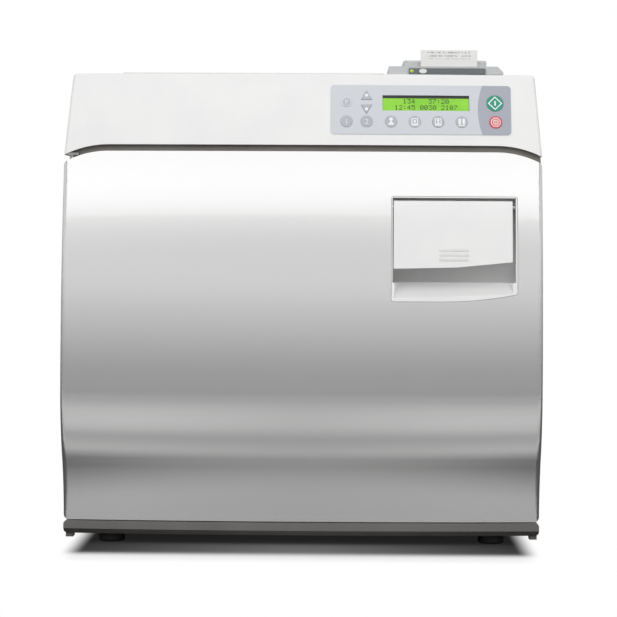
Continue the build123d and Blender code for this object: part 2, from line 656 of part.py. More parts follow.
TUBE_R = 3.0
TUBE_BEND = 7.0
FILL_TUBE_X = 158.0
RETURN_TUBE_X = 150.0
PORT_X = CHAMBER_X + 60.0
PORT_END = VESSEL_END - 1.5
BEHIND_Y = 238.0
VALVE_PORT_Z = VALVE_Z + 10.0
VALVE_SIDE_X = VALVE_X - 16.2

with BuildPart() as copper_tubes:
    # From the reservoir down to the fill valve
    pipe([(60, -40, TANK_Z[0] + 1), (60, -40, TANK_Z[0] - 14), (FILL_TUBE_X, -40, TANK_Z[0] - 14),
          (FILL_TUBE_X, VALVE_Y[0], 330), (FILL_TUBE_X, VALVE_Y[0], VALVE_PORT_Z),
          (VALVE_SIDE_X, VALVE_Y[0], VALVE_PORT_Z)], TUBE_BEND, TUBE_R)
    # From the fill valve to the lower port of the vessel
    pipe([(VALVE_X, VALVE_Y[0] + 14.2, VALVE_PORT_Z), (VALVE_X, -84, VALVE_PORT_Z),
          (RETURN_TUBE_X, -62, VALVE_PORT_Z), (RETURN_TUBE_X, BEHIND_Y, VALVE_PORT_Z),
          (PORT_X, BEHIND_Y, VALVE_PORT_Z), (PORT_X, BEHIND_Y, CHAMBER_Z - 95),
          (PORT_X, PORT_END, CHAMBER_Z - 95)], TUBE_BEND, TUBE_R)
    # From the upper port of the vessel to the vent valve
    pipe([(PORT_X, PORT_END, CHAMBER_Z + 95), (PORT_X, BEHIND_Y, CHAMBER_Z + 95),
          (FILL_TUBE_X, BEHIND_Y, CHAMBER_Z + 95), (FILL_TUBE_X, 20, CHAMBER_Z + 95),
          (FILL_TUBE_X, VALVE_Y[1], CHAMBER_Z + 40), (FILL_TUBE_X, VALVE_Y[1], VALVE_PORT_Z),
          (VALVE_SIDE_X, VALVE_Y[1], VALVE_PORT_Z)], TUBE_BEND, TUBE_R)
copper_tubes.part.label = "copper_tubes"

RELIEF_STEM_R = 2.0
with BuildPart() as relief_valve:
    with BuildSketch(upright(252, RELIEF_X, RELIEF_Z)) as hexagon:
        RegularPolygon(13, 6)
    extrude(hexagon.sketch, amount=252 - VESSEL_END - 0.2)
    disc(upright(PANEL_Y + 3, RELIEF_X, RELIEF_Z), 6, PANEL_Y + 3 - 252)
    disc(upright(PANEL_Y + 4, RELIEF_X, RELIEF_Z), RELIEF_STEM_R + RUNNING_FIT, 24, mode=Mode.SUBTRACT)
relief_valve.part.label = "relief_valve"

with BuildPart() as relief_knob:
    disc(upright(BACK - 0.4, RELIEF_X, RELIEF_Z), 8, 2.6)
    disc(upright(BACK - 2, RELIEF_X, RELIEF_Z), RELIEF_STEM_R, 20)
    chamfer(relief_knob.edges().filter_by(GeomType.CIRCLE).group_by(Axis.Y)[-1], length=0.8)
relief_knob.part.label = "relief_knob"

FAN_Y = (230.0, 254.0)
FAN_BLADES = 7
with BuildPart() as fan_housing:
    with BuildSketch(upright(FAN_Y[1], FAN_X, FAN_Z)) as frame_face:
        RectangleRounded(60, 60, 4)
        Circle(FAN_R, mode=Mode.SUBTRACT)
        with GridLocations(50, 50, 2, 2):
            Circle(2.2, mode=Mode.SUBTRACT)
    extrude(frame_face.sketch, amount=FAN_Y[1] - FAN_Y[0])
    # Motor seat held by four arms on the inner side
    with BuildSketch(upright(FAN_Y[0] + 3, FAN_X, FAN_Z)) as arms:
        Circle(10)
        Rectangle(2 * FAN_R + 2, 4, rotation=45)
        Rectangle(2 * FAN_R + 2, 4, rotation=-45)
    extrude(arms.sketch, amount=3)
fan_housing.part.label = "fan_housing"

with BuildPart() as fan_rotor:
    disc(upright(FAN_Y[1] - 3, FAN_X, FAN_Z), 10, 17)
    for blade in range(FAN_BLADES):
        angle = radians(360 / FAN_BLADES * blade)
        outward = (cos(angle), 0, sin(angle))
        with BuildSketch(Plane(origin=(FAN_X + 9 * outward[0], FAN_Y[1] - 11.5, FAN_Z + 9 * outward[2]),
                               x_dir=(0, 1, 0), z_dir=outward)) as blade_section:
            Rectangle(17, 1.6, rotation=40)
        extrude(blade_section.sketch, amount=FAN_R - 11)
fan_rotor.part.label = "fan_rotor"

PLATE_BACK = 260.0
with BuildPart() as power_inlet:
    with BuildSketch(upright(PLATE_BACK, INLET_X, (INLET_Z + BREAKER_Z) / 2)) as plate:
        RectangleRounded(40, 82, 3)
    extrude(plate.sketch, amount=PLATE_BACK - PANEL_Y - SHEET)
    block((INLET_X - 14, INLET_X + 14), (228, BACK - 0.6), (INLET_Z - 11, INLET_Z + 11))
    with BuildSketch(upright(BACK, INLET_X, INLET_Z)) as socket_mouth:
        RectangleRounded(24.4, 16.4, 3)
    extrude(socket_mouth.sketch, amount=20, mode=Mode.SUBTRACT)
    for pin_x, pin_z in ((-7, -2), (7, -2), (0, 3)):
        block((INLET_X + pin_x - 1, INLET_X + pin_x + 1), (240, 256),
              (INLET_Z + pin_z - 2, INLET_Z + pin_z + 2))
    # Body and bush of the circuit breaker
    block((INLET_X - 12, INLET_X + 12), (232, 240), (BREAKER_Z - 12, BREAKER_Z + 12))
    disc(upright(PANEL_Y + SHEET + 1, INLET_X, BREAKER_Z), 6.1, PANEL_Y + SHEET + 1 - 239)
    disc(upright(BACK, INLET_X, BREAKER_Z), 5.15, BACK - 240, mode=Mode.SUBTRACT)
power_inlet.part.label = "power_inlet"

with BuildPart() as breaker_button:
    disc(upright(BACK - 0.3, INLET_X, BREAKER_Z), 5.0, 19)
    fillet(breaker_button.edges().filter_by(GeomType.CIRCLE).group_by(Axis.Y)[-1], radius=1)
breaker_button.part.label = "breaker_button"

with BuildPart() as case_screws:
    for screw_z in (34, 200, 425):
        for screw_x in (-205, 205):
            disc(upright(PANEL_Y + SHEET + 2.2, screw_x, screw_z), 3.6, 2.2)
    for screw_y in (-150, 30, 210):
        for sign in (-1, 1):
            disc(Plane(origin=(sign * (HALF - 1), screw_y, 330), z_dir=(sign, 0, 0)), 3.6, 0.9)
case_screws.part.label = "case_screws"

# ---------------------------------------------------------------- door
DOOR_REACH = 80.0
BACK_EDGE_ROUND = 6.0

with BuildPart() as door_hollow:
    revolve(door_section(SKIN), axis=PLAN_AXIS, revolution_arc=SWEEP_ANGLE)
    extrude(door_outline(SKIN), amount=DOOR_REACH, mode=Mode.INTERSECT)

POCKET_X = (83.6, 201.4)
POCKET_Z = (231.0, 329.0)
POCKET_CURVE_X = 130.0
POCKET_RISE = 7.0
POCKET_BACK = -218.0


def pocket_outline(y, grow):
    """Return the outline of the handle pocket, whose lower edge turns up to the right."""
    with BuildSketch(upright(y)) as outline:
        with BuildLine():
            bottom = Line((POCKET_X[0] - grow, POCKET_Z[0] - grow), (POCKET_CURVE_X, POCKET_Z[0] - grow))
            rise = TangentArc(bottom @ 1, (POCKET_X[1] + grow, POCKET_Z[0] - grow + POCKET_RISE),
                              tangent=(1, 0))
            Polyline(rise @ 1, (POCKET_X[1] + grow, POCKET_Z[1] + grow),
                     (POCKET_X[0] - grow, POCKET_Z[1] + grow), bottom @ 0)
        make_face()
        fillet(outline.vertices().filter_by(lambda v: abs(v.X - POCKET_CURVE_X) > 1), radius=2 + grow)
    return outline.sketch


with BuildPart() as door_shell:
    revolve(door_section(0), axis=PLAN_AXIS, revolution_arc=SWEEP_ANGLE)
    extrude(door_outline(0), amount=DOOR_REACH, mode=Mode.INTERSECT)
    on_side = door_shell.edges().filter_by(lambda e: abs(abs(e.center().X) - HALF) < 0.01)
    fillet(on_side.filter_by(lambda e: e.center().Y < DOOR_BACK_Y - 5 and e.length > 30), radius=5)
    back_edges = door_shell.edges().filter_by(Axis.Z).filter_by(
        lambda e: abs(e.center().Y - DOOR_BACK_Y) < 0.01 and abs(e.center().X) > HALF - 1)
    fillet(back_edges, radius=BACK_EDGE_ROUND)
    add(door_hollow.part, mode=Mode.SUBTRACT)
    extrude(pocket_outline(POCKET_BACK + 10, 0.3), amount=DOOR_REACH, mode=Mode.SUBTRACT)
    # Clearance for the two hinge pins
    disc(Plane((HINGE_X, HINGE_Y, DOOR_BOTTOM - 2)), HINGE_PIN_R + 0.5, 10, mode=Mode.SUBTRACT)
    disc(Plane((HINGE_X, HINGE_Y, 350)), HINGE_PIN_R + 0.5, 30, mode=Mode.SUBTRACT)
door_shell.part.label = "door_shell"

LINER_BOSS_Z = ((26.0, 46.0), (334.0, 354.0))

with BuildPart() as door_liner:
    extrude(door_outline(SKIN + BACK_EDGE_ROUND - 2.5), amount=2)
    for boss_z in LINER_BOSS_Z:
        block((HINGE_X - 3.6, HINGE_X + 8), (HINGE_Y - 3.4, DOOR_BACK_Y - 1), boss_z)
        disc(Plane((HINGE_X, HINGE_Y, boss_z[0] - 1)), HINGE_PIN_R + RUNNING_FIT, 22, mode=Mode.SUBTRACT)
    disc(upright(DOOR_BACK_Y + 1, CHAMBER_X, CHAMBER_Z), FLANGE_R - 1, 5, mode=Mode.SUBTRACT)
    for slot_z in SLOT_Z:
        block(SLOT_X, (DOOR_BACK_Y - 5, DOOR_BACK_Y + 1), slot_z, mode=Mode.SUBTRACT)
door_liner.part.label = "door_liner"

PLATE_R = FLANGE_R - 1.5
PLUG_R = CHAMBER_R - 4.0

with BuildPart() as pressure_plate:
    with BuildSketch(CHAMBER_SIDE) as plate_profile:
        with BuildLine():
            Polyline((-200, 0), (-200, PLATE_R), (DOOR_BACK_Y + 1, PLATE_R), (DOOR_BACK_Y + 1, PLUG_R),
                     (DOOR_BACK_Y + 9, PLUG_R - 6), (DOOR_BACK_Y + 9, 0), close=True)
        make_face()
    revolve(plate_profile.sketch, axis=CHAMBER_AXIS)
    fillet(pressure_plate.edges().filter_by(GeomType.CIRCLE).group_by(Axis.Y)[-1], radius=4)
pressure_plate.part.label = "pressure_plate"

with BuildPart() as door_gasket:
    with BuildSketch(upright(FRAME_Y - 0.4, CHAMBER_X, CHAMBER_Z)) as seal_face:
        Circle(CHAMBER_R + 11)
        Circle(CHAMBER_R + 0.5, mode=Mode.SUBTRACT)
    extrude(seal_face.sketch, amount=FRAME_Y - 0.4 - DOOR_BACK_Y - 1)
    fillet(door_gasket.edges().filter_by(GeomType.CIRCLE).group_by(Axis.Y)[-1], radius=0.8)
door_gasket.part.label = "door_gasket"

with BuildPart() as door_strongback:
    block((-204, 204), (-224, -203), (CHAMBER_Z - 16, CHAMBER_Z + 16))
    block((-201, 201), (-221, -206), (CHAMBER_Z - 17, CHAMBER_Z - 13), mode=Mode.SUBTRACT)
    for end_x in (-197, 197):
        block((end_x - 7, end_x + 7), (-203, DOOR_BACK_Y - 2.2), (CHAMBER_Z - 16, CHAMBER_Z + 16))
    disc(upright(-200.2, CHAMBER_X, CHAMBER_Z), 14, 4)
door_strongback.part.label = "door_strongback"

with BuildPart() as hinge_pins:
    disc(Plane((HINGE_X, HINGE_Y, FOOT_HEIGHT + 3)), HINGE_PIN_R, LINER_BOSS_Z[0][1] - FOOT_HEIGHT - 3)
    disc(Plane((HINGE_X, HINGE_Y, LINER_BOSS_Z[1][0])), HINGE_PIN_R, BRACKET_Z[1] - LINER_BOSS_Z[1][0])
hinge_pins.part.label = "hinge_pins"


def door_surface_y(x, z):
    """Return y on the door's outer skin, for points above its belly."""
    reach = PLAN_RADIUS - UPPER_RADIUS + (UPPER_RADIUS**2 - (z - BELLY_Z) ** 2) ** 0.5
    return FRONT + PLAN_RADIUS - (reach**2 - x**2) ** 0.5


# The handle turns on a level shaft that lies along the door's curve
HANDLE_TURN = degrees(asin(HANDLE_X / PLAN_RADIUS))
SHAFT_Y = door_surface_y(HANDLE_X, HANDLE_Z) + HANDLE_DEPTH
SHAFT_DIR = (cos(radians(HANDLE_TURN)), sin(radians(HANDLE_TURN)), 0)


def shaft_plane(along, inward=0.0):
    """Return the plane across the handle's shaft, at a distance along it from its middle."""
    origin = (
        HANDLE_X + along * SHAFT_DIR[0] - inward * SHAFT_DIR[1],
        SHAFT_Y + along * SHAFT_DIR[1] + inward * SHAFT_DIR[0],
        HANDLE_Z,
    )
    return Plane(origin=origin, x_dir=(0, 0, 1), z_dir=SHAFT_DIR)


POCKET_WALL = 1.2
RAMP_Y = -236.0
FLOOR_Z = 248.0
CAVITY_X = (91.0, 194.0)

with BuildPart() as pocket_cavity:
    with BuildSketch(upright(-266)) as mouth:
        with Locations((sum(POCKET_X) / 2, (POCKET_Z[1] - POCKET_WALL + 228) / 2)):
            Rectangle(POCKET_X[1] - POCKET_X[0] - 1.0, POCKET_Z[1] - POCKET_WALL - 228)
    with BuildSketch(upright(RAMP_Y)) as throat:
        with Locations((sum(CAVITY_X) / 2, (POCKET_Z[1] - POCKET_WALL + FLOOR_Z) / 2)):
            Rectangle(CAVITY_X[1] - CAVITY_X[0], POCKET_Z[1] - POCKET_WALL - FLOOR_Z)
    loft()
    block((CAVITY_X[0] - 6.4, CAVITY_X[1] + 6), (-270, POCKET_BACK - 2),
          (FLOOR_Z + 0.5, POCKET_Z[1] - POCKET_WALL))

with BuildPart() as handle_pocket:
    revolve(door_section(0.3), axis=PLAN_AXIS, revolution_arc=SWEEP_ANGLE)
    extrude(pocket_outline(POCKET_BACK, 0), amount=DOOR_REACH, mode=Mode.INTERSECT)
    add(pocket_cavity.part, mode=Mode.SUBTRACT)
    disc(shaft_plane(-70), SHAFT_R + RUNNING_FIT, 140, mode=Mode.SUBTRACT)
handle_pocket.part.label = "handle_pocket"

PADDLE_X = (85.6, 196.8)
PADDLE_Z = (261.5, 325.2)
PADDLE_RISE = 6.5
PADDLE_PROUD = 0.5
PADDLE_SKIN = 5.0
RIB_X = (128.0, 155.5)
RIB_Z = (270.5, 274.9, 279.3)


def paddle_outline(y, low, high):
    """Return the handle's outline between two heights; its lower edge rises to the right."""
    with BuildSketch(upright(y)) as outline:
        with BuildLine():
            Polyline((PADDLE_X[0], low), (POCKET_CURVE_X + 15, low + 1.5), (PADDLE_X[1], low + PADDLE_RISE),
                     (PADDLE_X[1], high), (PADDLE_X[0], high), close=True)
        make_face()
    return outline.sketch


with BuildPart() as paddle_back:
    revolve(door_section(PADDLE_SKIN), axis=PLAN_AXIS, revolution_arc=SWEEP_ANGLE)

with BuildPart() as paddle_lip:
    revolve(door_section(PADDLE_SKIN - 1), axis=PLAN_AXIS, revolution_arc=SWEEP_ANGLE)
    extrude(paddle_outline(-246, PADDLE_Z[0], PADDLE_Z[0] + 10), amount=DOOR_REACH, mode=Mode.INTERSECT)

with BuildPart() as paddle_hub:
    disc(shaft_plane(-54), 4.6, 108)
    with BuildSketch(Plane(origin=(HANDLE_X, SHAFT_Y, HANDLE_Z), x_dir=SHAFT_DIR, z_dir=(0, 0, 1))) as web:
        with Locations((0, -1.5)):
            Rectangle(108, 4)
    extrude(web.sketch, amount=4, both=True)

with BuildPart() as door_handle:
    revolve(door_section(-PADDLE_PROUD), axis=PLAN_AXIS, revolution_arc=SWEEP_ANGLE)
    extrude(paddle_outline(-200, *PADDLE_Z), amount=DOOR_REACH, mode=Mode.INTERSECT)
    add(paddle_back.part, mode=Mode.SUBTRACT)
    top_edge = door_handle.edges().group_by(Axis.Z)[-1].sort_by(Axis.Y)[0]
    fillet(top_edge, radius=4)
    add(paddle_lip.part)
    add(paddle_hub.part)
    # Grip ribs
    for rib_z in RIB_Z:
        y = door_surface_y(sum(RIB_X) / 2, rib_z) - PADDLE_PROUD
        with BuildSketch(Plane(origin=(sum(RIB_X) / 2, y + 2, rib_z), x_dir=SHAFT_DIR,
                               z_dir=(SHAFT_DIR[1], -SHAFT_DIR[0], 0))) as rib:
            SlotOverall(RIB_X[1] - RIB_X[0], 2.2)
        extrude(rib.sketch, amount=3.0)
    disc(shaft_plane(-70), SHAFT_R, 140, mode=Mode.SUBTRACT)
door_handle.part.label = "door_handle"

CRANK_AT = 64.0
LATCH_X = (211.0, 214.5)
LATCH_Y = (-226.0, -202.0)
LATCH_Z = (95.0, 335.0)
HOOK_Z = (128.0, 298.0)
HOOK_REACH = -176.0

with BuildPart() as handle_shaft:
    disc(shaft_plane(-60), SHAFT_R, CRANK_AT + 64)
    with BuildSketch(shaft_plane(CRANK_AT - 1.5)) as crank:
        with Locations((0, -CRANK_LENGTH / 2)):
            Rectangle(6, CRANK_LENGTH)
        with Locations((0, -CRANK_LENGTH)):
            Circle(4)
    extrude(crank.sketch, amount=4)
    disc(shaft_plane(CRANK_AT, CRANK_LENGTH), 2, 12)
handle_shaft.part.label = "handle_shaft"

with BuildPart() as latch_bar:
    with BuildSketch(Plane.YZ.offset(LATCH_X[0])) as bar:
        with Locations((sum(LATCH_Y) / 2, sum(LATCH_Z) / 2)):
            Rectangle(LATCH_Y[1] - LATCH_Y[0], LATCH_Z[1] - LATCH_Z[0])
        for hook_z in HOOK_Z:
            with BuildLine():
                Polyline((LATCH_Y[1] - 1, hook_z), (HOOK_REACH, hook_z), (HOOK_REACH, hook_z + 9),
                         (HOOK_REACH - 5, hook_z + 13), (HOOK_REACH - 5, hook_z + 8),
                         (LATCH_Y[1] - 1, hook_z + 8), close=True)
            make_face()
        with Locations((shaft_plane(CRANK_AT, CRANK_LENGTH).origin.Y - 2, HANDLE_Z)):
            SlotOverall(13, 5.8, mode=Mode.SUBTRACT)
        # The bar steps back round the strongback's end
        with Locations((LATCH_Y[0] + 4, CHAMBER_Z)):
            Rectangle(10, 150, mode=Mode.SUBTRACT)
    extrude(bar.sketch, amount=LATCH_X[1] - LATCH_X[0])
latch_bar.part.label = "latch_bar"

# ---------------------------------------------------------------- printer
BASE_Y = (-200.0, -105.0)
BASE_Z = (BODY_TOP + 0.3, BODY_TOP + 8.0)
COVER_X = (95.0, 174.5)
COVER_Y = (-190.0, -109.0)
COVER_Z = (BASE_Z[1] + 0.3, BASE_Z[1] + 6.5)
COVER_BARREL_R = 1.5
COVER_HINGE_Z = COVER_Z[0] + COVER_BARREL_R
PAPER_X = 138.5
PAPER_Y = -192.6
ROLL_R = 18.0
ROLL_Y = -144.0
ROLL_Z = 428.0
PLATEN_Y = -181.5
PLATEN_Z = BASE_Z[1] - 1.0
PLATEN_R = 4.5
BUTTON_X = 113.5
BUTTON_Z = BODY_TOP + 3.4

with BuildPart() as printer_housing:
    block((PRINTER_X - PRINTER_W / 2, PRINTER_X + PRINTER_W / 2), BASE_Y, BASE_Z)
    chamfer(printer_housing.edges().filter_by(Axis.Y).group_by(Axis.X)[-1].sort_by(Axis.Z)[-1], length=5.5)
    block((TUB_X[0] + 0.5, TUB_X[1] - 0.5), (TUB_Y[0] + 0.5, TUB_Y[1] - 0.5), (406, BASE_Z[0] + 1))
    block((TUB_X[0] + 2.5, TUB_X[1] - 2.5), (TUB_Y[0] + 2.5, TUB_Y[1] - 2.5), (408, BASE_Z[1] + 1),
          mode=Mode.SUBTRACT)
    # Trough for the platen, slot for the paper, and the button's pocket
    block((PAPER_X - 31, PAPER_X + 31), (PLATEN_Y - 6, PLATEN_Y + 6), (BASE_Z[0] + 1.2, BASE_Z[1] + 1),
          mode=Mode.SUBTRACT)
    block((PAPER_X - 36, PAPER_X + 29), (PAPER_Y - 0.9, PAPER_Y + 1.1), (BASE_Z[0] + 2.5, BASE_Z[1] + 1),
          mode=Mode.SUBTRACT)
    with BuildSketch(upright(BASE_Y[0] + 4, BUTTON_X, BUTTON_Z)) as pocket:
        Ellipse(4.0, 2.5)
    extrude(pocket.sketch, amount=10, mode=Mode.SUBTRACT)
    # Journals of the platen
    disc(Plane(origin=(PAPER_X - 33, PLATEN_Y, PLATEN_Z), z_dir=(1, 0, 0)), 1.5 + RUNNING_FIT, 66,
         mode=Mode.SUBTRACT)
printer_housing.part.label = "printer_housing"

with BuildPart() as printer_bezel:
    with BuildSketch(upright(BASE_Y[0] - 0.1, PRINTER_X + 1, BODY_TOP + 3.3)) as strip:
        RectangleRounded(73, 5.6, 1)
    extrude(strip.sketch, amount=1.4)
    with BuildSketch(upright(BASE_Y[0] + 4, BUTTON_X, BUTTON_Z)) as button_hole:
        Ellipse(4.0, 2.5)
    extrude(button_hole.sketch, amount=10, mode=Mode.SUBTRACT)
printer_bezel.part.label = "printer_bezel"

with BuildPart() as feed_button:
    with BuildSketch(upright(BASE_Y[0] + 3, BUTTON_X, BUTTON_Z)) as button_face:
        Ellipse(3.7, 2.2)
    extrude(button_face.sketch, amount=5.4)
feed_button.part.label = "feed_button"

with BuildPart() as printer_cover:
    block(COVER_X, COVER_Y, COVER_Z)
    fillet(printer_cover.edges().filter_by(Axis.Z), radius=3)
    fillet(printer_cover.edges().group_by(Axis.Z)[-1], radius=1.8)
    block((COVER_X[0] + 1.6, COVER_X[1] - 1.6), (COVER_Y[0] + 1.6, COVER_Y[1] - 1.6),
          (COVER_Z[0] - 1, COVER_Z[1] - 1.6), mode=Mode.SUBTRACT)
    # Barrel of the hinge along the back edge
    disc(Plane(origin=(COVER_X[0] + 8, COVER_Y[1], COVER_HINGE_Z), z_dir=(1, 0, 0)), COVER_BARREL_R,
         COVER_X[1] - COVER_X[0] - 16)
printer_cover.part.label = "printer_cover"

with BuildPart() as platen_roller:
    shaft_start = Plane(origin=(PAPER_X - 32.8, PLATEN_Y, PLATEN_Z), z_dir=(1, 0, 0))
    disc(shaft_start, 1.5, 65.6)
    disc(shaft_start.offset(3.8), PLATEN_R, 58)
platen_roller.part.label = "platen_roller"

with BuildPart() as paper_roll:
    roll_start = Plane(origin=(PAPER_X - 28.5, ROLL_Y, ROLL_Z), z_dir=(1, 0, 0))
    disc(roll_start, ROLL_R, 57)
    disc(roll_start.offset(-1), 6, 60, mode=Mode.SUBTRACT)
paper_roll.part.label = "paper_roll"

PAPER_TOP = 469.5
with BuildPart() as paper_strip:
    block((PAPER_X - PAPER_W / 2, PAPER_X + PAPER_W / 2), (PAPER_Y - 0.3, PAPER_Y + 0.3),
          (BASE_Z[0] + 3, PAPER_TOP))
paper_strip.part.label = "paper_strip"

# ---------------------------------------------------------------- write the pieces
single_pieces = (
    feet, base_pan, sill_trim, top_cover, rear_panel, rear_bumpers, front_frame, groove_strip,
    fascia, control_overlay, control_board, lcd_module, chamber_vessel,
    insulation_blanket, heater_element, tray_rack, reservoir_tank, fill_lid, solenoid_valves,
    copper_tubes, relief_valve, relief_knob, fan_housing, fan_rotor, power_inlet, breaker_button,
    case_screws, door_shell, door_liner, pressure_plate, door_gasket,
    door_strongback, hinge_pins, handle_pocket, door_handle, handle_shaft, latch_bar,
    printer_housing, printer_bezel, feed_button, printer_cover, platen_roller, paper_roll,
    paper_strip,
)
repeated_pieces = [side_panel_left, side_panel_right, *keys, *trays]

os.makedirs("parts", exist_ok=True)
for piece in [builder.part for builder in single_pieces] + repeated_pieces:
    export_step(piece, f"parts/{piece.label}.step")
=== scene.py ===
import json
import math

import bpy
from mathutils import Matrix, Vector

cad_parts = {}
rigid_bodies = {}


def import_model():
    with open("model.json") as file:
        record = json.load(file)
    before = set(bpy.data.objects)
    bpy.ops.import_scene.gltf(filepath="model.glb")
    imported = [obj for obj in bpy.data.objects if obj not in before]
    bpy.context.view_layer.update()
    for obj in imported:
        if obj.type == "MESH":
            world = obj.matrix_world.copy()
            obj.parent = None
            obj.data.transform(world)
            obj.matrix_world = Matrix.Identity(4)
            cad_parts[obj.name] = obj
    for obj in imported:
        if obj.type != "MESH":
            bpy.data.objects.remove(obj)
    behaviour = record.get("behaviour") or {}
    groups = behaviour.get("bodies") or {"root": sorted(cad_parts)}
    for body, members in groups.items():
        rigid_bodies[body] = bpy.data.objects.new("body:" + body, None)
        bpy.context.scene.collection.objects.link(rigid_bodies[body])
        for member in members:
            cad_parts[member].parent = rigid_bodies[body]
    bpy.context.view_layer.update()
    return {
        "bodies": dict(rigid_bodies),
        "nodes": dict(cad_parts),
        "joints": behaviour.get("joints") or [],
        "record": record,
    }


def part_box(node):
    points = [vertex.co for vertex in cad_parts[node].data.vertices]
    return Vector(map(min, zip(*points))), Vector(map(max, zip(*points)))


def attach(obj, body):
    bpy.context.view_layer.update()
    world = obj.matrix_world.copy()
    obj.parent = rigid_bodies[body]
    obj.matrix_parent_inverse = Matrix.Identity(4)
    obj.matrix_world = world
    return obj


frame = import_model()
nodes = frame["nodes"]
joints = {joint["name"]: joint for joint in frame["joints"]}
MM = 0.001


# ------------------------------------------------------------------ camera
CAMERA_PLACE = (0.0377, -2.4, 0.2865)
CAMERA_YAW = -0.0145
CAMERA_PITCH = -0.0291
CAMERA_ROLL = 0.0052
FOCAL_IN_WIDTHS = 3.7363
SENSOR_MM = 36.0


def aim_camera():
    """Stand a long lens in front of the door, a little under the middle of the cabinet's height."""
    view = bpy.data.cameras.new("camera")
    view.sensor_width = SENSOR_MM
    view.lens = FOCAL_IN_WIDTHS * SENSOR_MM
    camera = bpy.data.objects.new("camera", view)
    bpy.context.scene.collection.objects.link(camera)
    turn = Matrix.Rotation(-CAMERA_YAW, 4, "Z") @ Matrix.Rotation(math.pi / 2 + CAMERA_PITCH, 4, "X")
    camera.matrix_world = Matrix.Translation(CAMERA_PLACE) @ turn @ Matrix.Rotation(CAMERA_ROLL, 4, "Z")
    bpy.context.scene.camera = camera


aim_camera()


# ------------------------------------------------------------------ material helpers
def linear(hex_colour):
    """Turn an sRGB hex value such as "D6D9DF" into a linear colour with alpha."""
    parts = [int(hex_colour[i:i + 2], 16) / 255 for i in (0, 2, 4)]
    return tuple(c / 12.92 if c <= 0.04045 else ((c + 0.055) / 1.055) ** 2.4 for c in parts) + (1.0,)


def add_node(material, kind, settings=None, **inputs):
    """Add a shader node, with its settings, and its inputs as values or as sockets to link."""
    tree = material.node_tree
    made = tree.nodes.new("ShaderNode" + kind)
    for name, value in (settings or {}).items():
        setattr(made, name, value)
    for name, value in inputs.items():
        socket = made.inputs[int(name[1:])] if name[0] == "_" else made.inputs[name.replace("_", " ")]
        if isinstance(value, bpy.types.NodeSocket):
            tree.links.new(value, socket)
        else:
            socket.default_value = value
    return made


def new_surface(name, **inputs):
    """Start a material whose single Principled shader has the given inputs."""
    material = bpy.data.materials.new(name)
    material.use_nodes = True
    material.node_tree.nodes.clear()
    shader = add_node(material, "BsdfPrincipled", **inputs)
    add_node(material, "OutputMaterial", Surface=shader.outputs[0])
    return material, shader


def place_in_mm(material, stretch=(1, 1, 1)):
    """Return the point on the piece in millimetres, stretched along each axis."""
    place = add_node(material, "TexCoord").outputs["Object"]
    scale = tuple(1000 / s for s in stretch)
    return add_node(material, "Mapping", Vector=place, Scale=scale).outputs[0]


def grain(material, size_mm, stretch=(1, 1, 1), detail=3.0):
    """Return a noise whose grains are size_mm across."""
    where = place_in_mm(material, stretch)
    return add_node(material, "TexNoise", Vector=where, Scale=1 / size_mm, Detail=detail).outputs["Fac"]


def blend_colours(material, amount, low, high):
    """Return a colour between two hex colours."""
    ramp = add_node(material, "ValToRGB", Fac=amount)
    ramp.color_ramp.elements[0].color = linear(low)
    ramp.color_ramp.elements[1].color = linear(high)
    ramp.color_ramp.elements[0].position = 0.35
    ramp.color_ramp.elements[1].position = 0.65
    return ramp.outputs[0]


def vary(material, shader, socket, amount, low, high):
    """Spread a value such as roughness between low and high."""
    spread = add_node(material, "MapRange", Value=amount, To_Min=low, To_Max=high)
    material.node_tree.links.new(spread.outputs[0], shader.inputs[socket])


def set_colour(material, shader, colour):
    material.node_tree.links.new(colour, shader.inputs["Base Color"])


def raise_grain(material, shader, height, strength, depth_mm):
    """Bump the surface by depth_mm."""
    bump = add_node(material, "Bump", Height=height, Strength=strength, Distance=depth_mm * MM)
    material.node_tree.links.new(bump.outputs[0], shader.inputs["Normal"])


# ------------------------------------------------------------------ materials
def lacquered_silver():
    """ABS sprayed with fine silver pearl and clear lacquer: soft metal sheen under a sharp gloss."""
    material, shader = new_surface("pearl_lacquered_abs", Metallic=0.8, Coat_Weight=1.0, Coat_Roughness=0.03,
                                   Coat_IOR=1.5)
    # The flakes are about 0.03 mm; they are drawn 0.7 mm so that they just show
    flake = grain(material, 0.7, detail=1.0)
    set_colour(material, shader, blend_colours(material, flake, "CDCCCC", "D0CFCF"))
    vary(material, shader, "Roughness", flake, 0.21, 0.225)
    return material


def moulded_plastic(name, low, high, roughness, texture_mm=0.9, depth_mm=0.012, coat=0.0):
    """Injection moulded ABS: even colour, satin skin with a very fine spark-eroded texture."""
    material, shader = new_surface(name, IOR=1.52, Coat_Weight=coat, Coat_Roughness=0.05)
    set_colour(material, shader, blend_colours(material, grain(material, 45.0), low, high))
    fine = grain(material, texture_mm, detail=2.0)
    vary(material, shader, "Roughness", fine, roughness - 0.04, roughness + 0.05)
    raise_grain(material, shader, fine, 0.5, depth_mm)
    return material


def powder_coat(name, low, high):
    """Steel with baked powder coat: slight orange peel about 1.6 mm across."""
    material, shader = new_surface(name, IOR=1.5)
    set_colour(material, shader, blend_colours(material, grain(material, 60.0), low, high))
    peel = grain(material, 1.6, detail=2.0)
    vary(material, shader, "Roughness", peel, 0.38, 0.5)
    raise_grain(material, shader, peel, 0.6, 0.04)
    return material


